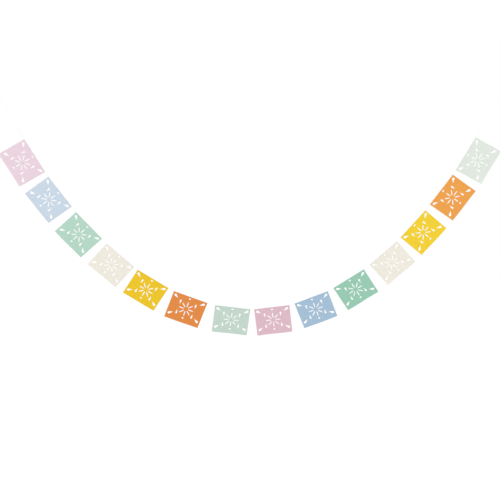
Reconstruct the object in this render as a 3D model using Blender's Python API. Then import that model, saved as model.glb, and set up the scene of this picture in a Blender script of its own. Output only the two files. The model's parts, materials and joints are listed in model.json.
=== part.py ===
"""Papel picado banner: fourteen cut paper panels folded over one string, in metres with +Z up.

Each panel is one sheet. It is cut flat, folded over the string at its top edge, and glued behind.
The string is tied in a loop at each end. The origin is where a hook bears on the left loop, and the
right loop hangs level with it along +X. The front of the paper looks along -Y.
"""

import math

import bmesh
import bpy
from mathutils import Vector
from mathutils.geometry import delaunay_2d_cdt

# Driving sizes of the row
PANEL_COUNT = 14
PANEL_WIDTH = 0.186
PANEL_HEIGHT = 0.150
PANEL_GAP = 0.031
FREE_STRING = 0.285  # at the left end; at the right it reaches up to the same level
LOAD_RATIO = 0.297  # one panel's weight over the level pull in the string

# How far each panel has slid to the right along the string from its even place, in millimetres
PANEL_SLIDES = (4, 0, 3, 5, -4, -3, 8, -3, -6, -4, 2, -3, 2, -3)

# How far each panel is turned anticlockwise from its balance, in degrees, held by its grip on the string
PANEL_TURNS = (-1, 0.5, 1.5, 0, 0.5, 0.5, 0, -0.5, 0, 0, 0, 0.5, 0, 2.5)

# Paper and its fold over the string
PAPER_THICKNESS = 0.0002
HEM_DEPTH = 0.006
GLUE_LINE = 0.0001
STRING_CLEARANCE = 0.0003
FOLD_STEPS = 3
CURL_DEPTH = 0.003
WAVE_DEPTH = 0.0015

# String, loops and knots
STRING_DIAMETER = 0.0012
LOOP_LENGTH = 0.045
LOOP_WIDTH = 0.016
KNOT_TURNS = 3
TAIL_LENGTH = 0.012
KNOT_GAP = 0.0003

# Flower of long petals
FLOWER_DROP = 0.476 * PANEL_HEIGHT  # below the top fold
PETAL_COUNT = 8
PETAL_START = 0.0111
PETAL_REACH = 0.265 * PANEL_HEIGHT
PETAL_WIDTH = 0.0049
PETAL_FULLNESS = 0.35  # from 0, square, to 1, pointed

# Drops beside the flower, their tails towards its level line
SIDE_DROP_OUT = 0.2245 * PANEL_WIDTH
SIDE_DROP_UP = 0.238 * PANEL_HEIGHT
SIDE_DROP_HEAD = 0.0092
SIDE_DROP_LENGTH = 0.0242

# Oval dots above and below the flower
DOT_WIDTH = 0.0109
DOT_HEIGHT = 0.0077
TOP_DOT_INSET = 0.0126
BOTTOM_DOT_INSET = 0.0263

# Drops in the corners, their tails towards the flower
CORNER_DROP_HEAD = 0.0124
CORNER_DROP_LENGTH = 0.0285
CORNER_SIDE_INSET = 0.0151
CORNER_TOP_INSET = 0.0157
CORNER_BOTTOM_INSET = 0.0298
CORNER_DROP_ANGLE = math.radians(33)

# Paper colours, left to right, as linear RGB
PAPER_COLOURS = [
    ("pink", (0.84, 0.68, 0.75)),
    ("sky", (0.60, 0.71, 0.81)),
    ("mint", (0.49, 0.69, 0.58)),
    ("cream", (0.87, 0.84, 0.75)),
    ("yellow", (0.84, 0.58, 0.05)),
    ("orange", (0.77, 0.27, 0.08)),
    ("sage", (0.56, 0.68, 0.61)),
]
STRING_COLOUR = (0.85, 0.85, 0.83)

# Worked out from the sizes above
STRING_RADIUS = STRING_DIAMETER / 2
WRAP_RADIUS = STRING_RADIUS + STRING_CLEARANCE + PAPER_THICKNESS / 2
FACE_OFFSET = (GLUE_LINE + PAPER_THICKNESS) / 2
JOIN_DROP = HEM_DEPTH - WRAP_RADIUS
JOIN_REACH = math.hypot(FACE_OFFSET, JOIN_DROP)
WRAP_ANGLE = math.pi - math.atan2(FACE_OFFSET, JOIN_DROP) - math.acos(WRAP_RADIUS / JOIN_REACH)
WRAP_LENGTH = WRAP_RADIUS * WRAP_ANGLE
FLAP_LENGTH = math.sqrt(JOIN_REACH**2 - WRAP_RADIUS**2)
SHEET_TOP = -(WRAP_LENGTH + FLAP_LENGTH)
SHEET_JOIN = WRAP_LENGTH + FLAP_LENGTH
SHEET_BOTTOM = SHEET_JOIN + PANEL_HEIGHT - HEM_DEPTH
KNOT_RADIUS = 3.2 * STRING_RADIUS
KNOT_LENGTH = KNOT_TURNS * STRING_DIAMETER
KNOT_SIDES = 10


def clear_scene():
    for item in list(bpy.data.objects):
        bpy.data.objects.remove(item, do_unlink=True)


def material(name, colour, roughness):
    made = bpy.data.materials.new(name)
    made.use_nodes = True
    shader = made.node_tree.nodes["Principled BSDF"]
    shader.inputs["Base Color"].default_value = (*colour, 1)
    shader.inputs["Roughness"].default_value = roughness
    shader.inputs["Metallic"].default_value = 0
    return made


def link_object(name, data, finish):
    item = bpy.data.objects.new(name, data)
    item.data.materials.append(finish)
    bpy.context.scene.collection.objects.link(item)
    return item


# The hanging row: a chain of stiff top folds and slack string, in balance under its own weight


def own_value(values, place):
    """The value of panel `place`, or 0 past either end of the row."""
    return values[place - 1] if 0 < place <= min(PANEL_COUNT, len(values)) else 0


def string_slope(place):
    """Slope of the string after `place` panels, from 0 at the left end."""
    return math.atan((place - PANEL_COUNT / 2) * LOAD_RATIO)


def fold_slope(place):
    """Slope of the top fold of panel `place`, from 1. Its weight hangs low, which levels it a little."""
    lever = 1 + LOAD_RATIO * PANEL_HEIGHT / (2 * PANEL_WIDTH)
    balance = math.atan((place - (PANEL_COUNT + 1) / 2) * LOAD_RATIO / lever)
    return balance + math.radians(own_value(PANEL_TURNS, place))


def along(start, slope, distance):
    return start + distance * Vector((math.cos(slope), 0, math.sin(slope)))


def loop_reach():
    """From where the hook bears to the end of the string, along the loop and its knot."""
    return LOOP_LENGTH + KNOT_LENGTH / 2 + KNOT_GAP


def slide(place):
    """How far panel `place` stands to the right of its even place along the string."""
    return own_value(PANEL_SLIDES, place) / 1000


def hang_row():
    """Both ends of every top fold, left to right, and where the left loop and the right one bear."""
    left_bearing = Vector((0, 0, 0))
    point = along(left_bearing, string_slope(0), loop_reach() + FREE_STRING + slide(1))
    folds = []
    for place in range(1, PANEL_COUNT + 1):
        end = along(point, fold_slope(place), PANEL_WIDTH)
        folds.append((point, end))
        point = along(end, string_slope(place), PANEL_GAP + slide(place + 1) - slide(place))
    last_slope = string_slope(PANEL_COUNT)
    right_bearing = along(end, last_slope, -end.z / math.sin(last_slope))
    return left_bearing, folds, right_bearing


# The sheet: cut flat, with u across it and s down it from the crest of the fold


def leaf(centre, angle, start, reach, width):
    """Outline of a long petal with blunt ends that points away from `centre`."""
    length = reach - start
    outward = Vector((math.cos(angle), math.sin(angle)))
    across = Vector((-outward.y, outward.x))
    shares = [0.15, 0.5, 0.85]
    halves = [math.sin(math.pi * share) ** PETAL_FULLNESS for share in shares]
    ridge = [centre + outward * (start + length * share) for share in shares]
    one_side = [point + across * width / 2 * half for point, half in zip(ridge, halves)]
    other_side = [point - across * width / 2 * half for point, half in zip(ridge, halves)]
    inner_tip = centre + outward * start
    outer_tip = centre + outward * reach
    return [inner_tip, *other_side, outer_tip, *reversed(one_side)]


def drop(head, angle, diameter, length):
    """Outline of a drop whose tail points along `angle` from the centre of its round head."""
    radius = diameter / 2
    tail = length - radius
    tangent = math.acos(radius / tail)
    arc_points = 6
    sweep = 2 * (math.pi - tangent)
    outline = [head + tail * Vector((math.cos(angle), math.sin(angle)))]
    for step in range(arc_points):
        turn = angle + tangent + sweep * step / (arc_points - 1)
        outline.append(head + radius * Vector((math.cos(turn), math.sin(turn))))
    return outline


def oval(centre, width, height):
    points = 6
    turns = [math.tau * step / points for step in range(points)]
    return [centre + Vector((width / 2 * math.cos(turn), height / 2 * math.sin(turn))) for turn in turns]


def cut_outs():
    """Every hole of a panel, as outlines on the flat sheet."""
    middle = PANEL_WIDTH / 2
    top = SHEET_JOIN - HEM_DEPTH
    flower = Vector((middle, top + FLOWER_DROP))
    holes = []
    for petal in range(PETAL_COUNT):
        angle = math.tau * petal / PETAL_COUNT
        holes.append(leaf(flower, angle, PETAL_START, PETAL_REACH, PETAL_WIDTH))
    for side in (-1, 1):
        for end in (-1, 1):
            head = flower + Vector((side * SIDE_DROP_OUT, end * SIDE_DROP_UP))
            holes.append(drop(head, -end * math.pi / 2, SIDE_DROP_HEAD, SIDE_DROP_LENGTH))
    for height in (top + TOP_DOT_INSET, SHEET_BOTTOM - BOTTOM_DOT_INSET):
        holes.append(oval(Vector((middle, height)), DOT_WIDTH, DOT_HEIGHT))
    for side in (-1, 1):
        out = side * (middle - CORNER_SIDE_INSET)
        inward = math.pi / 2 + side * (math.pi / 2 - CORNER_DROP_ANGLE)
        upper = Vector((middle + out, top + CORNER_TOP_INSET))
        lower = Vector((middle + out, SHEET_BOTTOM - CORNER_BOTTOM_INSET))
        holes.append(drop(upper, inward, CORNER_DROP_HEAD, CORNER_DROP_LENGTH))
        holes.append(drop(lower, -inward, CORNER_DROP_HEAD, CORNER_DROP_LENGTH))
    return holes


def crease_rows():
    """Lines across the sheet where it turns over the string, from the flap's edge to the glued join."""
    turns = [WRAP_LENGTH * step / FOLD_STEPS for step in range(-FOLD_STEPS, FOLD_STEPS + 1)]
    return [SHEET_TOP, *turns, SHEET_JOIN]


def sheet_outline():
    """The sheet's edge, with a point at each crease and a few more where the face can curl."""
    side_steps = 3
    bottom_steps = 6
    face = SHEET_BOTTOM - SHEET_JOIN
    rows = crease_rows() + [SHEET_JOIN + face * step / side_steps for step in range(1, side_steps)]
    right = [Vector((PANEL_WIDTH, row)) for row in rows]
    bottom = [Vector((PANEL_WIDTH * step / bottom_steps, SHEET_BOTTOM)) for step in range(bottom_steps + 1)]
    left = [Vector((0, row)) for row in rows]
    return right + bottom[::-1] + left[::-1]


def cut_sheet():
    """Triangles of the flat sheet without its holes, and with its crease lines kept as edges."""
    points = []
    outlines = []
    for outline in [sheet_outline(), *cut_outs()]:
        outlines.append(list(range(len(points), len(points) + len(outline))))
        points += outline
    last = outlines[0][-1]
    creases = [(row, last - row) for row in range(1, len(crease_rows()))]
    made, _, triangles, _, _, sources = delaunay_2d_cdt(points, creases, outlines, 1, 1e-7)
    paper = [triangle for triangle, source in zip(triangles, sources) if source == [0]]
    return made, paper


def fold_over(s):
    """Side view of the folded sheet, y and z from the string's middle, at s from the crest."""
    front = -1 if s > 0 else 1
    run = abs(s)
    if run <= WRAP_LENGTH:
        turn = run / WRAP_RADIUS
        return front * WRAP_RADIUS * math.sin(turn), WRAP_RADIUS * math.cos(turn)
    share = min((run - WRAP_LENGTH) / FLAP_LENGTH, 1)
    y = (1 - share) * WRAP_RADIUS * math.sin(WRAP_ANGLE) + share * FACE_OFFSET
    z = (1 - share) * WRAP_RADIUS * math.cos(WRAP_ANGLE) - share * JOIN_DROP
    below = max(run - SHEET_JOIN, 0)
    return front * y, z - below


def curl(place, u, s):
    """How far the face of panel `place` stands forward: a bow down its height and a wave across it."""
    share = max(s - SHEET_JOIN, 0) / (SHEET_BOTTOM - SHEET_JOIN)
    bow = CURL_DEPTH * math.sin(2.4 * place) * share**2
    wave = WAVE_DEPTH * math.sin(math.tau * u / PANEL_WIDTH + 1.9 * place) * share
    return bow + wave


def panel_mesh(place, name):
    flat, triangles = cut_sheet()
    sheet = bmesh.new()
    corners = []
    for u, s in flat:
        y, z = fold_over(s)
        corners.append(sheet.verts.new((u, y - curl(place, u, s), z)))
    for triangle in triangles:
        sheet.faces.new([corners[index] for index in triangle])
    bmesh.ops.recalc_face_normals(sheet, faces=sheet.faces)
    mesh = bpy.data.meshes.new(name)
    sheet.to_mesh(mesh)
    sheet.free()
    return mesh


def add_panel(place, start, finish, colour_name):
    name = f"panel_{place:02d}_{colour_name}"
    panel = link_object(name, panel_mesh(place, name), finish)
    panel.location = start
    panel.rotation_euler = (0, -fold_slope(place), 0)
    paper = panel.modifiers.new("paper", "SOLIDIFY")
    paper.thickness = PAPER_THICKNESS
    paper.offset = 0
    paper.use_even_offset = True
    return panel


# The string and its tied ends


def cord_curve(name, points):
    curve = bpy.data.curves.new(name, "CURVE")
    curve.dimensions = "3D"
    curve.bevel_depth = STRING_RADIUS
    curve.bevel_resolution = 2
    curve.use_fill_caps = True
    spline = curve.splines.new("POLY")
    spline.points.add(len(points) - 1)
    for knot, point in zip(spline.points, points):
        knot.co = (*point, 1)
    return curve


def slack_points(start, start_slope, end, end_slope):
    """Points of a smooth curve between two folds, which leaves each along its own slope."""
    span = (end - start).length
    leave = along(Vector(), start_slope, span)
    arrive = along(Vector(), end_slope, span)
    points = []
    for share in (0.3, 0.7):
        held = (1 + 2 * share) * (1 - share) ** 2
        pull = share * (1 - share) ** 2
        push = share**2 * (share - 1)
        points.append(held * start + (1 - held) * end + pull * leave + push * arrive)
    return points


def string_route(left_bearing, folds, right_bearing):
    """The string from knot to knot: straight inside each hem, bending smoothly between them."""
    straight_ends = (0.25, 0.5, 0.75)
    first = along(left_bearing, string_slope(0), loop_reach())
    last = along(right_bearing, string_slope(PANEL_COUNT), -loop_reach())
    points = [first, *(first.lerp(folds[0][0], share) for share in straight_ends)]
    for place, (start, end) in enumerate(folds, 1):
        points += [start, end]
        if place < PANEL_COUNT:
            points += slack_points(end, fold_slope(place), folds[place][0], fold_slope(place + 1))
    points += [folds[-1][1].lerp(last, share) for share in straight_ends]
    return [*points, last]


def loop_points():
    """Middle line of the loop: out from the knot, round the crown and back, with X outwards."""
    crown_radius = LOOP_WIDTH / 2
    centre = LOOP_LENGTH + STRING_RADIUS - crown_radius
    leg_spread = 1.15 * STRING_RADIUS
    half_turn_steps = 4
    reach = math.hypot(centre, leg_spread)
    lean = math.asin((crown_radius - leg_spread) / reach)
    leg = [Vector((0, 0, leg_spread))]
    sweep = math.pi / 2 + lean
    arc = []
    for step in range(-half_turn_steps, half_turn_steps + 1):
        turn = sweep * step / half_turn_steps
        arc.append(Vector((centre + crown_radius * math.cos(turn), 0, -crown_radius * math.sin(turn))))
    return leg + arc + [Vector((0, 0, -leg_spread))]


def tail_points():
    lean = math.radians(38)
    outward = Vector((-math.cos(lean), -math.sin(lean) * 0.6, -math.sin(lean)))
    start = Vector((0, 0, -STRING_RADIUS / 2))
    return [start, start + outward * TAIL_LENGTH / 2, start + outward * TAIL_LENGTH]


def mesh_from_curve(curve):
    """Plain mesh of a cord, so that it can be joined to its knot."""
    holder = bpy.data.objects.new("cord", curve)
    bpy.context.scene.collection.objects.link(holder)
    bpy.context.view_layer.update()
    evaluated = holder.evaluated_get(bpy.context.evaluated_depsgraph_get())
    mesh = bpy.data.meshes.new_from_object(evaluated)
    bpy.data.objects.remove(holder, do_unlink=True)
    return mesh


def knot_mesh():
    """Barrel of the knot: turns of cord side by side round the loop's legs, turned about X."""
    rings = [(-KNOT_LENGTH / 2, KNOT_RADIUS - STRING_RADIUS)]
    for turn in range(KNOT_TURNS):
        middle = -KNOT_LENGTH / 2 + (turn + 0.5) * STRING_DIAMETER
        rings.append((middle, KNOT_RADIUS))
        rings.append((middle + STRING_RADIUS, KNOT_RADIUS - STRING_RADIUS / 2))
    rings[-1] = (KNOT_LENGTH / 2, KNOT_RADIUS - STRING_RADIUS)
    barrel = bmesh.new()
    previous = None
    for x, radius in rings:
        ring = []
        for side in range(KNOT_SIDES):
            turn = math.tau * side / KNOT_SIDES
            ring.append(barrel.verts.new((x, radius * math.cos(turn), radius * math.sin(turn))))
        if previous is None:
            barrel.faces.new(reversed(ring))
        else:
            for side in range(KNOT_SIDES):
                after = (side + 1) % KNOT_SIDES
                barrel.faces.new((previous[side], previous[after], ring[after], ring[side]))
        previous = ring
    barrel.faces.new(previous)
    bmesh.ops.recalc_face_normals(barrel, faces=barrel.faces)
    mesh = bpy.data.meshes.new("knot")
    barrel.to_mesh(mesh)
    barrel.free()
    return mesh


def add_loop(name, bearing, slope, finish):
    """A tied end whose crown bears on a hook at `bearing`, with the loop's X along `slope`."""
    item = link_object(name, knot_mesh(), finish)
    item.location = along(bearing, slope, -LOOP_LENGTH)
    item.rotation_euler = (0, -slope, 0)
    for joined_name, points in (("loop", loop_points()), ("tail", tail_points())):
        mesh = mesh_from_curve(cord_curve(joined_name, points))
        piece = link_object(f"{name}_{joined_name}", mesh, finish)
        piece.location = item.location
        piece.rotation_euler = item.rotation_euler
        piece.hide_render = True
        piece.display_type = "WIRE"
        join = item.modifiers.new(joined_name, "BOOLEAN")
        join.operation = "UNION"
        join.object = piece
    return item


def build_banner():
    clear_scene()
    left_bearing, folds, right_bearing = hang_row()
    papers = []
    for colour_name, colour in PAPER_COLOURS:
        papers.append((colour_name, material(f"{colour_name}_paper", colour, 0.9)))
    cotton = material("white_cotton", STRING_COLOUR, 0.95)
    for place, (start, _) in enumerate(folds, 1):
        colour_name, finish = papers[(place - 1) % len(papers)]
        add_panel(place, start, finish, colour_name)
    route = string_route(left_bearing, folds, right_bearing)
    link_object("string", cord_curve("string", route), cotton)
    add_loop("left_loop", left_bearing, string_slope(0) + math.pi, cotton)
    add_loop("right_loop", right_bearing, string_slope(PANEL_COUNT), cotton)


build_banner()
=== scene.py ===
"""Dresses the papel picado banner: cut and folded paper on a twisted cotton string, in a white studio.

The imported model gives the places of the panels, the string and its two tied ends. Each is made again
here with smooth cut edges, thin soft paper and spun string, and stands where its solid is.
"""

import json
import math

import bpy
import numpy as np
from bpy.props import FloatProperty, FloatVectorProperty, IntProperty, PointerProperty
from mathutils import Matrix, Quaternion, Vector, noise
from mathutils.geometry import delaunay_2d_cdt


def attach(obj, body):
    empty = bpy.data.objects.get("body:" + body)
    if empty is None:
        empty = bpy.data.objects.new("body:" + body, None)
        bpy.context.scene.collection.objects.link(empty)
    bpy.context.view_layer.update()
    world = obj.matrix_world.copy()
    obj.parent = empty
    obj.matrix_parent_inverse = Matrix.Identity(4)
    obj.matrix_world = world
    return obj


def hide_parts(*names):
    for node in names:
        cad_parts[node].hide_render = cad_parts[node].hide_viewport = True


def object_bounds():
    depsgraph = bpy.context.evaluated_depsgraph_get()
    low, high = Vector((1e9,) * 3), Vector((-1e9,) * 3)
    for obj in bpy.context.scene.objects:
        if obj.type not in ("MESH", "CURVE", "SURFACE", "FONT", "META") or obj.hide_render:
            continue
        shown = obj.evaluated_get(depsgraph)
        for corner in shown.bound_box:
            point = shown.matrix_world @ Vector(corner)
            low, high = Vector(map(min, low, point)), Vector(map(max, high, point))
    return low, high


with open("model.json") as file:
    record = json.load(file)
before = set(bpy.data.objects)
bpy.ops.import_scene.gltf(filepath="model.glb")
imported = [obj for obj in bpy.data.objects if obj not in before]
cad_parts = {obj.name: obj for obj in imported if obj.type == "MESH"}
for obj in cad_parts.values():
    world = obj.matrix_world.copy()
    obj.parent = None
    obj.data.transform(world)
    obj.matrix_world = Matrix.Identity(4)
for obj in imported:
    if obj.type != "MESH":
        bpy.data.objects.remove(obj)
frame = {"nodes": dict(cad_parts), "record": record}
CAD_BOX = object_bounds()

bl_info = {
    "name": "Papel picado banner",
    "version": (1, 0, 0),
    "blender": (4, 5, 0),
    "location": "3D View > Sidebar > Banner",
    "description": "Cut paper panels folded over one string, with a tied loop at each end",
    "category": "Object",
}

PHOTO_SIDE = 500  # pixels
SENSOR_WIDTH = 36  # millimetres

# How far each panel has slid to the right along the string from its even place, in millimetres
PANEL_SLIDES = (4, 0, 3, 5, -4, -3, 8, -3, -6, -4, 2, -3, 2, -3)

# How far each panel is turned anticlockwise from its balance, in degrees, held by its grip on the string
PANEL_TURNS = (-1, 0.5, 1.5, 0, 0.5, 0.5, 0, -0.5, 0, 0, 0, 0.5, 0, 2.5)

# Where each lamp stands from the camera's aim: to the right, towards the camera and up, in metres
LAMP_PLACES = {"left_lamp": (-2.4, 2.2, 1.3), "right_lamp": (2.4, 2.2, 1.1)}

# Nearly all of a noise texture's values lie between these two
NOISE_LOW, NOISE_HIGH = 0.3, 0.7

# Sockets of a colour Mix node by number, because it shares their names with the other kinds of Mix
MIX_FACTOR, MIX_FIRST, MIX_SECOND, MIX_RESULT = 0, 6, 7, 2


def linear(hex_colour):
    """Linear RGB of an sRGB hex colour."""
    channels = [int(hex_colour[place : place + 2], 16) / 255 for place in (1, 3, 5)]
    return [c / 12.92 if c <= 0.04045 else ((c + 0.055) / 1.055) ** 2.4 for c in channels]


def size(name, description, default):
    """A length in metres that the sidebar shows in the scene's unit."""
    return FloatProperty(
        name=name, description=description, default=default, min=0, precision=5,
        subtype="DISTANCE", unit="LENGTH",
    )


def share(name, description, default):
    """A share from 0 to 1."""
    return FloatProperty(
        name=name, description=description, default=default, min=0, max=1, subtype="FACTOR"
    )


def angle(name, description, degrees):
    """An angle, given here in degrees."""
    return FloatProperty(
        name=name, description=description, default=math.radians(degrees),
        subtype="ANGLE", unit="ROTATION",
    )


def colour(name, description, hex_colour):
    """A colour, given here as sRGB hex."""
    return FloatVectorProperty(
        name=name, description=description, default=linear(hex_colour), min=0, max=1, size=3,
        subtype="COLOR",
    )


class BannerRow(bpy.types.PropertyGroup):
    """The hanging row: panels, the gaps between them, and the pull in the string."""

    panel_count: IntProperty(name="Panels", description="Paper panels on the string", default=14, min=2)
    panel_width: size("Panel width", "Width of a panel along its fold", 0.186)
    panel_height: size("Panel height", "From the fold's crest to the lower edge", 0.150)
    panel_gap: size("Gap", "String between two panels", 0.031)
    free_string: size("Free string", "String from the left panel to its knot", 0.285)
    load_ratio: share("Load", "One panel's weight over the level pull in the string", 0.297)


class BannerFold(bpy.types.PropertyGroup):
    """The paper and its fold over the string."""

    thickness: size("Paper", "Thickness of the paper", 0.0002)
    hem_depth: size("Hem", "From the fold's crest to the flap's edge", 0.006)
    glue_line: size("Glue", "Space between the flap and the face", 0.0001)
    string_clearance: size("String clearance", "From the string to the fold round it", 0.0003)
    curl_depth: size("Curl", "How far a lower edge bows forward or back", 0.003)
    wave_depth: size("Wave", "How far a lower edge waves along its width", 0.0015)
    cockle_depth: size("Cockle", "Depth of the soft unevenness of the sheet", 0.00035)
    cockle_width: size("Cockle width", "Width of the soft unevenness of the sheet", 0.045)


class BannerCuts(bpy.types.PropertyGroup):
    """The shapes that are cut out of each panel."""

    flower_drop: share("Flower drop", "From the fold's crest to the flower's middle, over the height", 0.476)
    petal_count: IntProperty(name="Petals", description="Petals of the flower", default=8, min=1)
    petal_start: size("Petal start", "From the flower's middle to a petal's inner tip", 0.0111)
    petal_reach: share(
        "Petal reach", "From the flower's middle to a petal's outer tip, over the height", 0.265
    )
    petal_width: size("Petal width", "Width of a petal", 0.0049)
    petal_fullness: share("Petal fullness", "From 0, square, to 1, pointed", 0.35)
    side_drop_out: share(
        "Side drop out", "From the flower's middle out to a side drop, over the width", 0.2245
    )
    side_drop_up: share(
        "Side drop up", "From the flower up or down to a side drop's head, over the height", 0.238
    )
    side_drop_head: size("Side drop head", "Diameter of a side drop's head", 0.0092)
    side_drop_length: size("Side drop length", "Length of a side drop", 0.0242)
    dot_width: size("Dot width", "Width of an oval dot", 0.0109)
    dot_height: size("Dot height", "Height of an oval dot", 0.0077)
    top_dot_inset: size("Top dot inset", "From the fold's crest to the upper dot", 0.0126)
    bottom_dot_inset: size("Bottom dot inset", "From the lower edge to the lower dot", 0.0263)
    corner_drop_head: size("Corner drop head", "Diameter of a corner drop's head", 0.0124)
    corner_drop_length: size("Corner drop length", "Length of a corner drop", 0.0285)
    corner_side_inset: size("Corner side inset", "From the side edge to a corner drop's head", 0.0151)
    corner_top_inset: size("Corner top inset", "From the crest to an upper corner drop's head", 0.0157)
    corner_bottom_inset: size(
        "Corner bottom inset", "From the lower edge to a lower corner drop's head", 0.0298
    )
    corner_drop_angle: angle("Corner drop angle", "Slope of a corner drop's tail", 33)


class BannerPaper(bpy.types.PropertyGroup):
    """Colours of the papers, one copy of each for each side of the row's middle, and what shows of their
    pulp. The two copies of a paper differ by painted light and shade: the panel nearer an end of the row is
    painted paler, and the one nearer the middle deeper.
    """

    # Each paper's own colour, given twice: the copy for the panel nearer an end of the row is painted paler
    # and the copy for the panel nearer the middle deeper, which is painted light and shade
    pink_left: colour("Pink, left", "Pink paper left of the middle", "#e7d3dd")
    pink_right: colour("Pink, right", "Pink paper right of the middle", "#debdc9")
    sky_left: colour("Sky, left", "Sky blue paper left of the middle", "#cbd8e4")
    sky_right: colour("Sky, right", "Sky blue paper right of the middle", "#a8c2d7")
    mint_left: colour("Mint, left", "Mint green paper left of the middle", "#b7d7c7")
    mint_right: colour("Mint, right", "Mint green paper right of the middle", "#9bccb5")
    cream_left: colour("Cream, left", "Cream paper left of the middle", "#ece8de")
    cream_right: colour("Cream, right", "Cream paper right of the middle", "#ece8dd")
    yellow_left: colour("Yellow, left", "Yellow paper left of the middle", "#ebc826")
    yellow_right: colour("Yellow, right", "Yellow paper right of the middle", "#efd134")
    orange_left: colour("Orange, left", "Orange paper left of the middle", "#e38e47")
    orange_right: colour("Orange, right", "Orange paper right of the middle", "#eba44e")
    sage_left: colour("Sage, left", "Sage green paper left of the middle", "#c6d8ce")
    sage_right: colour("Sage, right", "Sage green paper right of the middle", "#dee5dd")
    fold_wear: share("Fold wear", "How much paler the fibres are where the fold has broken them", 0.14)
    cloud_width: size("Cloud", "Width of the pulp's cloudiness", 0.006)
    fibre_length: size("Fibre", "Length of the fibres that show in the surface", 0.0024)
    see_through: share("See-through", "Share of the light that passes into the sheet", 0.18)


class BannerString(bpy.types.PropertyGroup):
    """The string, its lay, and the loops tied in its ends."""

    diameter: size("Diameter", "Diameter of the string", 0.0012)
    lay_length: size("Lay", "Length in which a strand goes once round", 0.0042)
    strand_depth: share("Strand depth", "Depth of the groove between two strands, in radii", 0.24)
    loop_length: size("Loop length", "From the knot's middle to where a hook bears", 0.045)
    loop_width: size("Loop width", "Width of the loop at its crown", 0.016)
    knot_turns: IntProperty(
        name="Knot turns", description="Turns of the knot round the string", default=3, min=2
    )
    knot_gap: size("Knot gap", "From the string's end to its knot", 0.0003)
    tail_length: size("Tail", "Free end past the knot", 0.012)
    cotton: colour("Cotton", "Colour of the bleached cotton", "#f3f1ea")


class BannerStudio(bpy.types.PropertyGroup):
    """Where the camera stands, and the light."""

    aim_right: size("Aim right", "From the left hook across to where the camera aims", 1.25025)
    aim_down: size("Aim down", "From the left hook down to where the camera aims", 0.87072)
    distance: size("Distance", "From the camera to where it aims", 3.9909)
    elevation: angle("Elevation", "How steeply the camera looks down", 16.921)
    azimuth: angle("Azimuth", "How far left of straight ahead the camera stands", 1.414)
    roll: angle("Roll", "Clockwise turn of the camera about its view", -0.245)
    view_width: FloatProperty(
        name="View", description="Focal length in pixels of the photograph", default=779.1, min=1
    )
    sky_strength: FloatProperty(
        name="Sky", description="Strength of the white surroundings", default=1.06, min=0
    )
    lamp_power: FloatProperty(
        name="Lamps", description="Power of each soft lamp", default=9, min=0, unit="POWER"
    )
    lamp_size: size("Lamp size", "Diameter of each soft lamp", 1.2)
    floor_drop: size("Floor", "From the lowest panel down to the floor", 0.32)


# The hanging row: a chain of stiff folds and slack string, in balance under its own weight


def own_value(row, values, place):
    """The value of panel `place`, or 0 past either end of the row."""
    return values[place - 1] if 0 < place <= min(row.panel_count, len(values)) else 0


def string_slope(row, place):
    """Slope of the string after `place` panels, from 0 at the left end."""
    return math.atan((place - row.panel_count / 2) * row.load_ratio)


def fold_slope(row, place):
    """Slope of the fold of panel `place`, from 1. Its weight hangs low, which levels it a little."""
    lever = 1 + row.load_ratio * row.panel_height / (2 * row.panel_width)
    balance = math.atan((place - (row.panel_count + 1) / 2) * row.load_ratio / lever)
    return balance + math.radians(own_value(row, PANEL_TURNS, place))


def along(start, slope, distance):
    """The point at this distance from `start`, along this slope."""
    return start + distance * Vector((math.cos(slope), 0, math.sin(slope)))


def knot_length(cord):
    """Length of the knot, whose turns lie side by side."""
    return cord.knot_turns * cord.diameter


def loop_reach(cord):
    """From where the hook bears to the end of the string, along the loop and its knot."""
    return cord.loop_length + knot_length(cord) / 2 + cord.knot_gap


def slide(row, place):
    """How far panel `place` stands to the right of its even place along the string."""
    return own_value(row, PANEL_SLIDES, place) / 1000


def hang_row(row, cord):
    """Both ends of every fold, left to right, and where the right loop bears, level with the left one."""
    point = along(Vector(), string_slope(row, 0), loop_reach(cord) + row.free_string + slide(row, 1))
    folds = []
    for place in range(1, row.panel_count + 1):
        end = along(point, fold_slope(row, place), row.panel_width)
        folds.append((point, end))
        spacing = row.panel_gap + slide(row, place + 1) - slide(row, place)
        point = along(end, string_slope(row, place), spacing)
    last_slope = string_slope(row, row.panel_count)
    return folds, along(end, last_slope, -end.z / math.sin(last_slope))


# Fine outlines on the flat sheet, with u across it and s down it from the crest of the fold


def leaf(centre, turn, cuts, height):
    """Outline of a long petal with blunt ends that points away from `centre`."""
    start, reach = cuts.petal_start, cuts.petal_reach * height
    outward = Vector((math.cos(turn), math.sin(turn)))
    across = Vector((-outward.y, outward.x))
    steps = 14
    near, far = [], []
    for step in range(1, steps):
        place = (1 - math.cos(math.pi * step / steps)) / 2
        half = cuts.petal_width / 2 * math.sin(math.pi * place) ** cuts.petal_fullness
        middle = centre + outward * (start + (reach - start) * place)
        near.append(middle - across * half)
        far.append(middle + across * half)
    inner_tip = centre + outward * start
    outer_tip = centre + outward * reach
    return [inner_tip, *near, outer_tip, *reversed(far)]


def drop(head, turn, diameter, length):
    """Outline of a drop whose tail points along `turn` from the centre of its round head."""
    radius = diameter / 2
    tail = length - radius
    tangent = math.acos(radius / tail)
    steps = 20
    sweep = 2 * (math.pi - tangent)
    tip = head + tail * Vector((math.cos(turn), math.sin(turn)))
    arc = []
    for step in range(steps + 1):
        way = turn + tangent + sweep * step / steps
        arc.append(head + radius * Vector((math.cos(way), math.sin(way))))
    sides = (0.34, 0.67)
    last_side = [arc[-1].lerp(tip, place) for place in sides]
    first_side = [tip.lerp(arc[0], place) for place in sides]
    return [tip, *first_side, *arc, *last_side]


def oval(centre, width, height):
    """Outline of an upright oval."""
    steps = 24
    turns = [math.tau * step / steps for step in range(steps)]
    return [centre + Vector((width / 2 * math.cos(turn), height / 2 * math.sin(turn))) for turn in turns]


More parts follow.
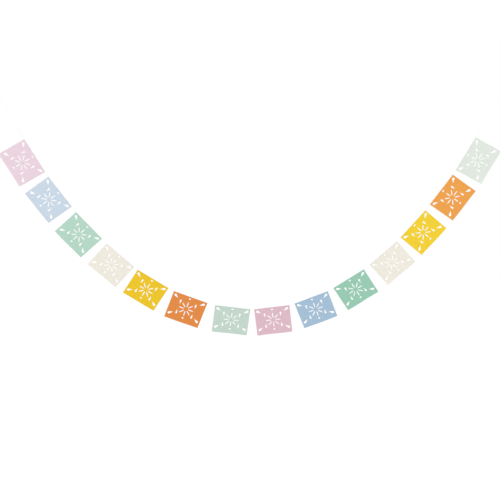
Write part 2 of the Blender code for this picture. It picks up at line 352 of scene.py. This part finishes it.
class SideView:
    """The sheet's side view: wrapped over the string, then the face in front and the flap behind."""

    def __init__(self, row, fold, cord):
        self.wrap_radius = cord.diameter / 2 + fold.string_clearance + fold.thickness / 2
        self.face_offset = (fold.glue_line + fold.thickness) / 2
        self.join_drop = fold.hem_depth - self.wrap_radius
        reach = math.hypot(self.face_offset, self.join_drop)
        lean = math.atan2(self.face_offset, self.join_drop)
        self.wrap_angle = math.pi - lean - math.acos(self.wrap_radius / reach)
        self.wrap_length = self.wrap_radius * self.wrap_angle
        self.flap_length = math.sqrt(reach**2 - self.wrap_radius**2)
        self.join = self.wrap_length + self.flap_length
        self.bottom = self.join + row.panel_height - fold.hem_depth
        self.crest = self.join - fold.hem_depth

    def rows(self):
        """Lines across the sheet where it turns, from the flap's edge to the glued join."""
        steps = 7
        wrap = [self.wrap_length * step / steps for step in range(-steps, steps + 1)]
        return [-self.join, *wrap, self.join]

    def place(self, s):
        """y and z of the sheet's middle layer, from the string's middle, at s from the crest."""
        front = -1 if s > 0 else 1
        run = abs(s)
        if run <= self.wrap_length:
            turn = run / self.wrap_radius
            return front * self.wrap_radius * math.sin(turn), self.wrap_radius * math.cos(turn)
        part = min((run - self.wrap_length) / self.flap_length, 1)
        y = (1 - part) * self.wrap_radius * math.sin(self.wrap_angle) + part * self.face_offset
        z = (1 - part) * self.wrap_radius * math.cos(self.wrap_angle) - part * self.join_drop
        return front * y, z - max(run - self.join, 0)


def cut_outs(row, cuts, side_view):
    """Every hole of a panel, as outlines on the flat sheet."""
    middle = row.panel_width / 2
    top = side_view.crest
    flower = Vector((middle, top + cuts.flower_drop * row.panel_height))
    holes = []
    for petal in range(cuts.petal_count):
        turn = math.tau * petal / cuts.petal_count
        holes.append(leaf(flower, turn, cuts, row.panel_height))
    for side in (-1, 1):
        for end in (-1, 1):
            out = side * cuts.side_drop_out * row.panel_width
            up = end * cuts.side_drop_up * row.panel_height
            head = flower + Vector((out, up))
            holes.append(drop(head, -end * math.pi / 2, cuts.side_drop_head, cuts.side_drop_length))
    for height in (top + cuts.top_dot_inset, side_view.bottom - cuts.bottom_dot_inset):
        holes.append(oval(Vector((middle, height)), cuts.dot_width, cuts.dot_height))
    for side in (-1, 1):
        out = side * (middle - cuts.corner_side_inset)
        inward = math.pi / 2 + side * (math.pi / 2 - cuts.corner_drop_angle)
        upper = Vector((middle + out, top + cuts.corner_top_inset))
        lower = Vector((middle + out, side_view.bottom - cuts.corner_bottom_inset))
        holes.append(drop(upper, inward, cuts.corner_drop_head, cuts.corner_drop_length))
        holes.append(drop(lower, -inward, cuts.corner_drop_head, cuts.corner_drop_length))
    return holes


def sheet_outline(row, side_view):
    """The sheet's edge, with a point at each crease and close points down its sides and bottom."""
    down_steps, across_steps = 22, 30
    face = side_view.bottom - side_view.join
    rows = side_view.rows() + [side_view.join + face * step / down_steps for step in range(1, down_steps)]
    right = [Vector((row.panel_width, s)) for s in rows]
    left = [Vector((0, s)) for s in rows]
    bottom = []
    for step in range(across_steps + 1):
        bottom.append(Vector((row.panel_width * step / across_steps, side_view.bottom)))
    return right + bottom[::-1] + left[::-1]


def inner_points(row, side_view, edges):
    """An even field of points in the face, clear of every cut edge, so that the sheet can bend softly."""
    spacing, clear = 0.0062, 0.0022
    across = round(row.panel_width / spacing)
    down = round((side_view.bottom - side_view.join) / spacing)
    edge = np.array(edges)
    field = []
    for column in range(1, across):
        for line in range(1, down):
            shift = 0.25 if line % 2 else -0.25  # lines are offset by half a step
            u = row.panel_width * (column + shift) / across
            s = side_view.join + (side_view.bottom - side_view.join) * line / down
            if np.hypot(*(edge - (u, s)).T).min() > clear:
                field.append(Vector((u, s)))
    return field


def cut_sheet(row, cuts, side_view):
    """Points and triangles of the flat sheet, with its creases as edges and without its holes."""
    points, outlines = [], []
    for outline in [sheet_outline(row, side_view), *cut_outs(row, cuts, side_view)]:
        outlines.append(list(range(len(points), len(points) + len(outline))))
        points += outline
    last = outlines[0][-1]
    creases = [(line, last - line) for line in range(1, len(side_view.rows()))]
    points += inner_points(row, side_view, points)
    inside_only, same_point = 1, 1e-7
    made, _, triangles, _, _, sources = delaunay_2d_cdt(
        points, creases, outlines, inside_only, same_point
    )
    paper = [triangle for triangle, source in zip(triangles, sources) if source == [0]]
    used, numbered = np.unique(np.array(paper), return_inverse=True)
    return [made[index] for index in used], numbered.reshape(-1, 3)


def curl(row, fold, side_view, place, u, s):
    """How far the face of panel `place` stands forward: a bow, a wave across it and a soft cockle."""
    part = max(s - side_view.join, 0) / (side_view.bottom - side_view.join)
    bow_step, wave_step, cockle_step = 2.4, 1.9, 3.7  # from panel to panel, so that no two are alike
    bow = fold.curl_depth * math.sin(bow_step * place) * part**2
    wave = fold.wave_depth * math.sin(math.tau * u / row.panel_width + wave_step * place) * part
    spot = Vector((u / fold.cockle_width, s / fold.cockle_width, cockle_step * place))
    rise = min(part * 5, 1)  # full a fifth of the way down, and none at the glued hem
    cockle = fold.cockle_depth * noise.noise(spot) * rise
    return bow + wave + cockle


def hung_sheet(row, fold, side_view, place, flat):
    """Where the flat sheet's points stand on panel `place`, from the left end of its fold."""
    middle = []
    for u, s in flat:
        y, z = side_view.place(s)
        middle.append((u, y - curl(row, fold, side_view, place, u, s), z))
    return np.array(middle)


def thick_mesh(name, middle, triangles, thickness):
    """A closed sheet of this thickness about its middle layer, crisp at its cut edges."""
    cut_edge = math.radians(40)  # the sheet itself turns less than this from face to face
    a, b, c = (middle[triangles[:, corner]] for corner in range(3))
    across = np.cross(b - a, c - a)
    normals = np.zeros_like(middle)
    for corner in range(3):
        np.add.at(normals, triangles[:, corner], across)
    normals /= np.linalg.norm(normals, axis=1)[:, None]
    count = len(middle)
    faces = [tuple(t) for t in triangles] + [tuple(t[::-1] + count) for t in triangles]
    ways = {(t[i], t[(i + 1) % 3]) for t in triangles.tolist() for i in range(3)}
    for start, end in sorted(ways):
        if (end, start) not in ways:
            faces.append((end, start, start + count, end + count))
    corners = np.concatenate([middle + normals * thickness / 2, middle - normals * thickness / 2])
    mesh = bpy.data.meshes.new(name)
    mesh.from_pydata(corners.tolist(), [], [[int(i) for i in face] for face in faces])
    mesh.shade_smooth()
    mesh.set_sharp_from_angle(angle=cut_edge)
    return mesh


def show(name, data, finish):
    """Puts a piece into the scene with its finish."""
    item = bpy.data.objects.new(name, data)
    item.data.materials.append(finish)
    bpy.context.scene.collection.objects.link(item)
    return item


# Spun string: a tube with the grooves of three strands, turned along its length


def ring_spacing(cord):
    """Length of cord from ring to ring of its mesh."""
    rings_per_lay = 12
    return cord.lay_length / rings_per_lay


def tube_faces(rings, sides):
    """Faces of a tube of this many rings, closed at both ends."""
    faces = [tuple(reversed(range(sides)))]
    for ring in range(rings - 1):
        low, high = ring * sides, (ring + 1) * sides
        for side in range(sides):
            after = (side + 1) % sides
            faces.append((low + side, low + after, high + after, high + side))
    faces.append(tuple((rings - 1) * sides + side for side in range(sides)))
    return faces


def spun_mesh(name, centres, turning, cord):
    """Mesh of a three-strand cord along `centres`. Its strands turn only where `turning` is true."""
    sides, strands = 18, 3
    groove_shape = 1.5  # the higher, the broader the strands and the narrower the grooves
    cut_end = math.radians(70)  # steeper than any groove
    radius = cord.diameter / 2
    centres = np.array(centres)
    tangents = np.gradient(centres, axis=0)
    tangents /= np.linalg.norm(tangents, axis=1)[:, None]
    out = Vector((0, 1, 0))
    corners = []
    twist = 0.0
    for index, (centre, tangent) in enumerate(zip(centres, tangents)):
        way = Vector(tangent)
        out = (out - way * out.dot(way)).normalized()
        if index and turning[index] and turning[index - 1]:
            twist += math.tau * float(np.linalg.norm(centre - centres[index - 1])) / cord.lay_length
        other = way.cross(out)
        for side in range(sides):
            turn = math.tau * side / sides
            hollow = cord.strand_depth * (0.5 - 0.5 * math.cos(strands * turn)) ** groove_shape
            reach = radius * (1 - hollow)
            spoke = out * math.cos(turn + twist) + other * math.sin(turn + twist)
            corners.append(Vector(centre) + spoke * reach)
    mesh = bpy.data.meshes.new(name)
    mesh.from_pydata(corners, [], tube_faces(len(centres), sides))
    mesh.shade_smooth()
    mesh.set_sharp_from_angle(angle=cut_end)
    return mesh


def slack_curve(start, start_slope, end, end_slope, steps):
    """Inner points of a smooth curve between two folds, which leaves each along its own slope."""
    span = (end - start).length
    leave = along(Vector(), start_slope, span)
    arrive = along(Vector(), end_slope, span)
    points = []
    for step in range(1, steps):
        part = step / steps
        held = (1 + 2 * part) * (1 - part) ** 2
        pull = part * (1 - part) ** 2
        push = part**2 * (part - 1)
        points.append(held * start + (1 - held) * end + pull * leave + push * arrive)
    return points


def even_steps(start, end, spacing):
    """Points from `start` up to but without `end`, about `spacing` apart."""
    steps = max(1, round((end - start).length / spacing))
    return [start.lerp(end, step / steps) for step in range(steps)]


def string_line(row, cord):
    """Middle line of the string from knot to knot, and whether each point can be seen."""
    folds, bearing = hang_row(row, cord)
    spacing = ring_spacing(cord)
    inside = 0.006  # how far into a fold the string can be seen
    first = along(Vector(), string_slope(row, 0), loop_reach(cord))
    last = along(bearing, string_slope(row, row.panel_count), -loop_reach(cord))
    seen = even_steps(first, folds[0][0], spacing)
    points, turning = list(seen), [True] * len(seen)
    for place, (start, end) in enumerate(folds, 1):
        entry = start.lerp(end, inside / row.panel_width)
        leave = end.lerp(start, inside / row.panel_width)
        before = even_steps(start, entry, spacing)
        after = even_steps(leave, end, spacing)
        points += [*before, entry, *after]
        turning += [True] * len(before) + [True, False] + [True] * (len(after) - 1)
        if place < row.panel_count:
            onward = folds[place][0]
            steps = round((onward - end).length / spacing)
            slack = slack_curve(end, fold_slope(row, place), onward, fold_slope(row, place + 1), steps)
            gap = [end, *slack]
        else:
            gap = [*even_steps(end, last, spacing), last]
        points += gap
        turning += [True] * len(gap)
    return points, turning


def smooth_through(points, spacing):
    """Evenly spaced points on a smooth curve through `points`."""
    steps = 16
    ends = [2 * points[0] - points[1], *points, 2 * points[-1] - points[-2]]
    fine = []
    for a, b, c, d in zip(ends, ends[1:], ends[2:], ends[3:]):
        square = 2 * a - 5 * b + 4 * c - d
        cube = 3 * b - a - 3 * c + d
        for step in range(steps):
            t = step / steps
            fine.append(0.5 * (2 * b + (c - a) * t + square * t**2 + cube * t**3))
    fine.append(points[-1])
    line = np.array(fine)
    run = np.concatenate([[0], np.cumsum(np.linalg.norm(np.diff(line, axis=0), axis=1))])
    even = np.linspace(0, run[-1], max(2, round(run[-1] / spacing)))
    return np.stack([np.interp(even, run, line[:, axis]) for axis in range(3)], axis=1)


# A tied end, with X outwards from the middle of its knot


def loop_arc(cord):
    """Middle line of the cord from one leg of the loop round the crown to the other."""
    steps = 10
    radius = cord.diameter / 2
    crown_radius = cord.loop_width / 2
    crown_centre = cord.loop_length + radius - crown_radius
    leg_spread = 2 * radius
    lean = math.asin((crown_radius - leg_spread) / math.hypot(crown_centre, leg_spread))
    sweep = math.pi / 2 + lean
    arc = []
    for step in range(-steps, steps + 1):
        turn = sweep * step / steps
        x = crown_centre + crown_radius * math.cos(turn)
        arc.append(Vector((x, 0, -crown_radius * math.sin(turn))))
    return arc


def knot_wraps(cord):
    """Middle line of the cord's turns round itself, from the loop back towards the string."""
    steps = 48
    radius = cord.diameter / 2
    wrap_radius = 2.15 * radius  # clear of the cord inside by 0.15 of a radius
    turns = cord.knot_turns - 0.25  # the last one runs off into the tail
    half_knot = knot_length(cord) / 2
    pitch = (2 * half_knot - cord.diameter) / (cord.knot_turns - 1)
    ahead = 0.1 * pitch
    wraps = []
    for step in range(steps + 1):
        turn = -math.pi / 2 + math.tau * turns * step / steps
        x = half_knot - radius - pitch * turns * step / steps + ahead
        wraps.append(Vector((x, wrap_radius * math.cos(turn), wrap_radius * math.sin(turn))))
    return wraps


def tail_run(cord, wraps):
    """Middle line of the free end, from where the last turn leaves the knot."""
    radius = cord.diameter / 2
    lean = math.radians(38)
    forward = 0.6  # of how far it goes down
    straight = 1.8  # radii, along the last turn, before it bends away
    outward = Vector((-math.cos(lean), -math.sin(lean) * forward, -math.sin(lean)))
    tail_end = Vector((0, 0, -radius / 2)) + outward * cord.tail_length
    run_off = wraps[-1] + (wraps[-1] - wraps[-2]).normalized() * straight * radius
    return [run_off.lerp(tail_end, part) for part in (0.22, 0.6, 1.0)]


def tied_line(cord):
    """Middle line of a tied end: through the knot, round the loop, round itself, and off as the tail."""
    half_knot = knot_length(cord) / 2
    rise = 0.3 * cord.diameter / 2  # of the first leg where it leaves the knot
    knot_top = Vector((half_knot, 0, rise))
    through = [Vector((x, 0, 0)) for x in (-half_knot, -half_knot / 3, half_knot / 3, half_knot)]
    arc, wraps = loop_arc(cord), knot_wraps(cord)
    first_parts, last_parts = (0.08, 0.3, 0.6, 0.85), (0.15, 0.4, 0.7, 0.92)
    first_leg = [knot_top.lerp(arc[0], part) for part in first_parts]
    last_leg = [arc[-1].lerp(wraps[0], part) for part in last_parts]
    return [*through, *first_leg, *arc, *last_leg, *wraps, *tail_run(cord, wraps)]


# Materials


def add_node(tree, kind, links=(), **settings):
    """Adds a node, with its properties and inputs set by name, and with (input, output) pairs linked."""
    node = tree.nodes.new(kind)
    for name, value in settings.items():
        if hasattr(node, name):
            setattr(node, name, value)
        else:
            node.inputs[name.replace("_", " ").title()].default_value = value
    for name, socket in links:
        tree.links.new(socket, node.inputs[name])
    return node


def new_material(name):
    """An empty node material, its tree and its Principled shader."""
    made = bpy.data.materials.new(name)
    made.use_nodes = True
    tree = made.node_tree
    return made, tree, tree.nodes["Principled BSDF"]


def uncoated_paper(name, tint, paper, crest):
    """Uncoated paper, dyed in the pulp and machine made: dead matt, with soft clouds and short fibres.

    `crest` is how high the fold stands above the panel's origin, in the middle of the string.
    """
    made, tree, shader = new_material(name)
    place = add_node(tree, "ShaderNodeTexCoord").outputs["Object"]
    clouds = add_node(
        tree, "ShaderNodeTexNoise", [("Vector", place)],
        Scale=1 / paper.cloud_width, Detail=3.0, Roughness=0.55,
    )
    shade = add_node(
        tree, "ShaderNodeMapRange", [("Value", clouds.outputs["Fac"])],
        From_Min=NOISE_LOW, From_Max=NOISE_HIGH, To_Min=0.975, To_Max=1.02,
    )
    # Fibres lie along the machine's run, so the pattern is stretched along the panel's width
    slimness = 0.3  # width over length: a real fibre is far slimmer and would not show
    stretched = add_node(tree, "ShaderNodeMapping", [("Vector", place)], Scale=(slimness, 1, 1))
    fibres = add_node(
        tree, "ShaderNodeTexNoise", [("Vector", stretched.outputs["Vector"])],
        Scale=1 / (slimness * paper.fibre_length), Detail=4.0, Roughness=0.7,
    )
    # Over the string the sheet is creased, and broken fibres leave it a little paler there
    crease_foot = 0.2 * crest
    height = add_node(tree, "ShaderNodeSeparateXYZ", [("Vector", place)]).outputs["Z"]
    crease = add_node(
        tree, "ShaderNodeMapRange", [("Value", height)], From_Min=crease_foot, From_Max=crest
    )
    worn = add_node(
        tree, "ShaderNodeMath", [(0, crease.outputs["Result"]), (1, fibres.outputs["Fac"])],
        operation="MULTIPLY",
    )
    paler = add_node(
        tree, "ShaderNodeMath", [(0, worn.outputs["Value"]), (2, shade.outputs["Result"])],
        operation="MULTIPLY_ADD",
    )
    paler.inputs[1].default_value = paper.fold_wear
    tinted = add_node(
        tree, "ShaderNodeMix", [(MIX_SECOND, paler.outputs["Value"])],
        data_type="RGBA", blend_type="MULTIPLY",
    )
    tinted.inputs[MIX_FACTOR].default_value = 1
    tinted.inputs[MIX_FIRST].default_value = (*tint, 1)
    fibre_height = 0.00006  # several times a real one's, which would not show
    relief = add_node(
        tree, "ShaderNodeBump", [("Height", fibres.outputs["Fac"])],
        Strength=0.35, Distance=fibre_height,
    )
    matt = add_node(
        tree, "ShaderNodeMapRange", [("Value", fibres.outputs["Fac"])],
        From_Min=NOISE_LOW, From_Max=NOISE_HIGH, To_Min=0.84, To_Max=0.95,
    )
    tree.links.new(tinted.outputs[MIX_RESULT], shader.inputs["Base Color"])
    tree.links.new(matt.outputs["Result"], shader.inputs["Roughness"])
    tree.links.new(relief.outputs["Normal"], shader.inputs["Normal"])
    shader.inputs["IOR"].default_value = 1.45
    shader.inputs["Specular IOR Level"].default_value = 0.3
    through = add_node(tree, "ShaderNodeBsdfTranslucent", [("Color", tinted.outputs[MIX_RESULT])])
    mixed = add_node(
        tree, "ShaderNodeMixShader", [(1, shader.outputs["BSDF"]), (2, through.outputs["BSDF"])],
        Fac=paper.see_through,
    )
    tree.links.new(mixed.outputs["Shader"], tree.nodes["Material Output"].inputs["Surface"])
    return made


def spun_cotton(name, tint, cord):
    """Bleached cotton, spun and twisted in three strands: matt, with a soft sheen and fine fibres."""
    made, tree, shader = new_material(name)
    place = add_node(tree, "ShaderNodeTexCoord").outputs["Object"]
    fibre_width = 0.00012  # real fibres are many times finer and would not show
    fibres = add_node(
        tree, "ShaderNodeTexNoise", [("Vector", place)],
        Scale=1 / fibre_width, Detail=3.0, Roughness=0.6,
    )
    shade = add_node(
        tree, "ShaderNodeMapRange", [("Value", fibres.outputs["Fac"])],
        From_Min=NOISE_LOW, From_Max=NOISE_HIGH, To_Min=0.9, To_Max=1.0,
    )
    tinted = add_node(
        tree, "ShaderNodeMix", [(MIX_SECOND, shade.outputs["Result"])],
        data_type="RGBA", blend_type="MULTIPLY",
    )
    tinted.inputs[MIX_FACTOR].default_value = 1
    tinted.inputs[MIX_FIRST].default_value = (*tint, 1)
    fibre_height = cord.diameter / 40
    relief = add_node(
        tree, "ShaderNodeBump", [("Height", fibres.outputs["Fac"])],
        Strength=0.5, Distance=fibre_height,
    )
    tree.links.new(tinted.outputs[MIX_RESULT], shader.inputs["Base Color"])
    tree.links.new(relief.outputs["Normal"], shader.inputs["Normal"])
    shader.inputs["Roughness"].default_value = 0.92
    shader.inputs["Sheen Weight"].default_value = 0.25
    shader.inputs["Sheen Roughness"].default_value = 0.5
    return made


def matt_floor(name):
    """Matt white studio floor, painted, with a faint mottle."""
    made, tree, shader = new_material(name)
    place = add_node(tree, "ShaderNodeTexCoord").outputs["Object"]
    mottle_width = 0.25
    mottle = add_node(
        tree, "ShaderNodeTexNoise", [("Vector", place)], Scale=1 / mottle_width, Detail=4.0
    )
    shade = add_node(
        tree, "ShaderNodeMapRange", [("Value", mottle.outputs["Fac"])],
        From_Min=NOISE_LOW, From_Max=NOISE_HIGH, To_Min=0.93, To_Max=0.96,
    )
    tree.links.new(shade.outputs["Result"], shader.inputs["Base Color"])
    shader.inputs["Roughness"].default_value = 0.9
    return made


def stand_for(piece, node):
    """The piece rides on the whole and replaces its CAD node."""
    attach(piece, "root")
    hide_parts(node)


class BANNER_OT_add_string(bpy.types.Operator):
    """Spin the string through every fold, from knot to knot"""

    bl_idname = "banner.add_string"
    bl_label = "String"

    def execute(self, context):
        row, cord = context.scene.banner_row, context.scene.banner_string
        centres, turning = string_line(row, cord)
        mesh = spun_mesh("spun_string", centres, turning, cord)
        string = show("spun_string", mesh, spun_cotton("spun_cotton_string", cord.cotton, cord))
        stand_for(string, "string")
        return {"FINISHED"}


class BANNER_OT_add_loops(bpy.types.Operator):
    """Tie a loop with its knot and tail in each end of the string"""

    bl_idname = "banner.add_loops"
    bl_label = "Tied loops"

    def execute(self, context):
        row, cord = context.scene.banner_row, context.scene.banner_string
        bearing = hang_row(row, cord)[1]
        stated = next(m for m in frame["record"]["mounts"] if m["name"] == "right_loop")
        tolerance = 0.001
        if (bearing - Vector(stated["pos_m"])).length > tolerance:
            raise RuntimeError(f"the row ends at {bearing}, and its right hook is at {stated['pos_m']}")
        line = smooth_through(tied_line(cord), ring_spacing(cord))
        turning = [True] * len(line)
        cotton = spun_cotton("spun_cotton_loop", cord.cotton, cord)
        left_end = ("left", Vector(), string_slope(row, 0) + math.pi)
        right_end = ("right", bearing, string_slope(row, row.panel_count))
        for side, hook, slope in (left_end, right_end):
            name = f"tied_{side}_loop"
            mesh = spun_mesh(name, line, turning, cord)
            loop = show(name, mesh, cotton)
            loop.location = along(hook, slope, -cord.loop_length)
            loop.rotation_euler = (0, -slope, 0)
            stand_for(loop, f"{side}_loop")
        return {"FINISHED"}


class BANNER_OT_add_panels(bpy.types.Operator):
    """Cut, fold and hang every paper panel"""

    bl_idname = "banner.add_panels"
    bl_label = "Paper panels"

    def execute(self, context):
        scene = context.scene
        row, fold, cuts, paper = scene.banner_row, scene.banner_fold, scene.banner_cuts, scene.banner_paper
        side_view = SideView(row, fold, scene.banner_string)
        flat, triangles = cut_sheet(row, cuts, side_view)
        folds = hang_row(row, scene.banner_string)[0]
        nodes = [name for name in sorted(frame["nodes"]) if name.startswith("panel_")]
        for place, (node, (start, _)) in enumerate(zip(nodes, folds), 1):
            middle = hung_sheet(row, fold, side_view, place, flat)
            mesh = thick_mesh(node, middle, triangles, fold.thickness)
            paper_name = node.split("_")[2]
            # Each panel takes its paper's copy for its side of the middle; the copies differ by painted
            # light and shade, paler for the panel nearer an end of the row
            side = "left" if place <= row.panel_count / 2 else "right"
            tint = getattr(paper, f"{paper_name}_{side}")
            finish_name = f"uncoated_{paper_name}_paper_{side}"
            finish = uncoated_paper(finish_name, tint, paper, side_view.wrap_radius)
            panel = show(f"paper_{node}", mesh, finish)
            panel.location = start
            panel.rotation_euler = (0, -fold_slope(row, place), 0)
            stand_for(panel, node)
        return {"FINISHED"}


class BANNER_OT_add_stage(bpy.types.Operator):
    """Lay the pale floor, set the soft light and place the camera"""

    bl_idname = "banner.add_stage"
    bl_label = "Studio"

    def execute(self, context):
        scene, studio = context.scene, context.scene.banner_studio
        low, high = CAD_BOX
        middle = (low + high) / 2
        self.add_floor(Vector((middle.x, middle.y, low.z - studio.floor_drop)))
        self.add_world(scene, studio)
        aim = Vector((studio.aim_right, 0, -studio.aim_down))
        self.add_lamps(aim, studio)
        self.add_camera(scene, aim, studio)
        return {"FINISHED"}

    def add_floor(self, middle):
        """A round floor, so wide that its edge is far outside the view."""
        radius, sides = 60, 96
        ring = []
        for side in range(sides):
            turn = math.tau * side / sides
            ring.append((radius * math.cos(turn), radius * math.sin(turn), 0))
        mesh = bpy.data.meshes.new("floor")
        mesh.from_pydata(ring, [], [tuple(range(sides))])
        floor = show("floor", mesh, matt_floor("matt_white_floor"))
        floor.location = middle

    def add_world(self, scene, studio):
        """White surroundings, and colours shown as they are."""
        world = bpy.data.worlds.new("white_surroundings")
        world.use_nodes = True
        background = world.node_tree.nodes["Background"]
        background.inputs["Color"].default_value = (1, 1, 1, 1)
        background.inputs["Strength"].default_value = studio.sky_strength
        scene.world = world
        scene.view_settings.view_transform = "Standard"

    def add_lamps(self, aim, studio):
        """Two soft lamps in front of the row, one to each side, and both a little above it."""
        for name, (across, forward, up) in LAMP_PLACES.items():
            lamp = bpy.data.lights.new(name, "AREA")
            lamp.shape = "DISK"
            lamp.size = studio.lamp_size
            lamp.energy = studio.lamp_power
            holder = bpy.data.objects.new(name, lamp)
            holder.location = aim + Vector((across, -forward, up))
            holder.rotation_euler = (aim - holder.location).to_track_quat("-Z", "Y").to_euler()
            bpy.context.scene.collection.objects.link(holder)

    def add_camera(self, scene, aim, studio):
        """The camera where the photograph was taken from."""
        camera = bpy.data.cameras.new("photo_camera")
        camera.sensor_width = SENSOR_WIDTH
        camera.lens = studio.view_width / PHOTO_SIDE * SENSOR_WIDTH
        camera.clip_start, camera.clip_end = 0.05, 200
        holder = bpy.data.objects.new("photo_camera", camera)
        back = Vector((-math.sin(studio.azimuth), -math.cos(studio.azimuth), 0)) * math.cos(studio.elevation)
        back.z = math.sin(studio.elevation)
        holder.location = aim + back * studio.distance
        level = (-back).to_track_quat("-Z", "Y")
        holder.rotation_euler = (Quaternion(back, -studio.roll) @ level).to_euler()
        scene.collection.objects.link(holder)
        scene.camera = holder


class BANNER_PT_sidebar(bpy.types.Panel):
    """Lists the banner's pieces and their sizes"""

    bl_idname = "BANNER_PT_sidebar"
    bl_label = "Papel picado banner"
    bl_space_type = "VIEW_3D"
    bl_region_type = "UI"
    bl_category = "Banner"

    def draw(self, context):
        for group in GROUPS:
            settings = getattr(context.scene, group)
            box = self.layout.box()
            for name in settings.__annotations__:
                box.prop(settings, name)
        for operator in OPERATORS:
            self.layout.operator(operator.bl_idname)


GROUPS = {
    "banner_row": BannerRow,
    "banner_fold": BannerFold,
    "banner_cuts": BannerCuts,
    "banner_paper": BannerPaper,
    "banner_string": BannerString,
    "banner_studio": BannerStudio,
}
OPERATORS = (BANNER_OT_add_stage, BANNER_OT_add_string, BANNER_OT_add_loops, BANNER_OT_add_panels)


def register():
    for name, group in GROUPS.items():
        bpy.utils.register_class(group)
        setattr(bpy.types.Scene, name, PointerProperty(type=group))
    for made in (*OPERATORS, BANNER_PT_sidebar):
        bpy.utils.register_class(made)


def unregister():
    for made in (BANNER_PT_sidebar, *reversed(OPERATORS)):
        bpy.utils.unregister_class(made)
    for name, group in reversed(GROUPS.items()):
        delattr(bpy.types.Scene, name)
        bpy.utils.unregister_class(group)


def main():
    register()
    bpy.ops.banner.add_stage()
    bpy.ops.banner.add_string()
    bpy.ops.banner.add_loops()
    bpy.ops.banner.add_panels()


if __name__ == "__main__":
    main()
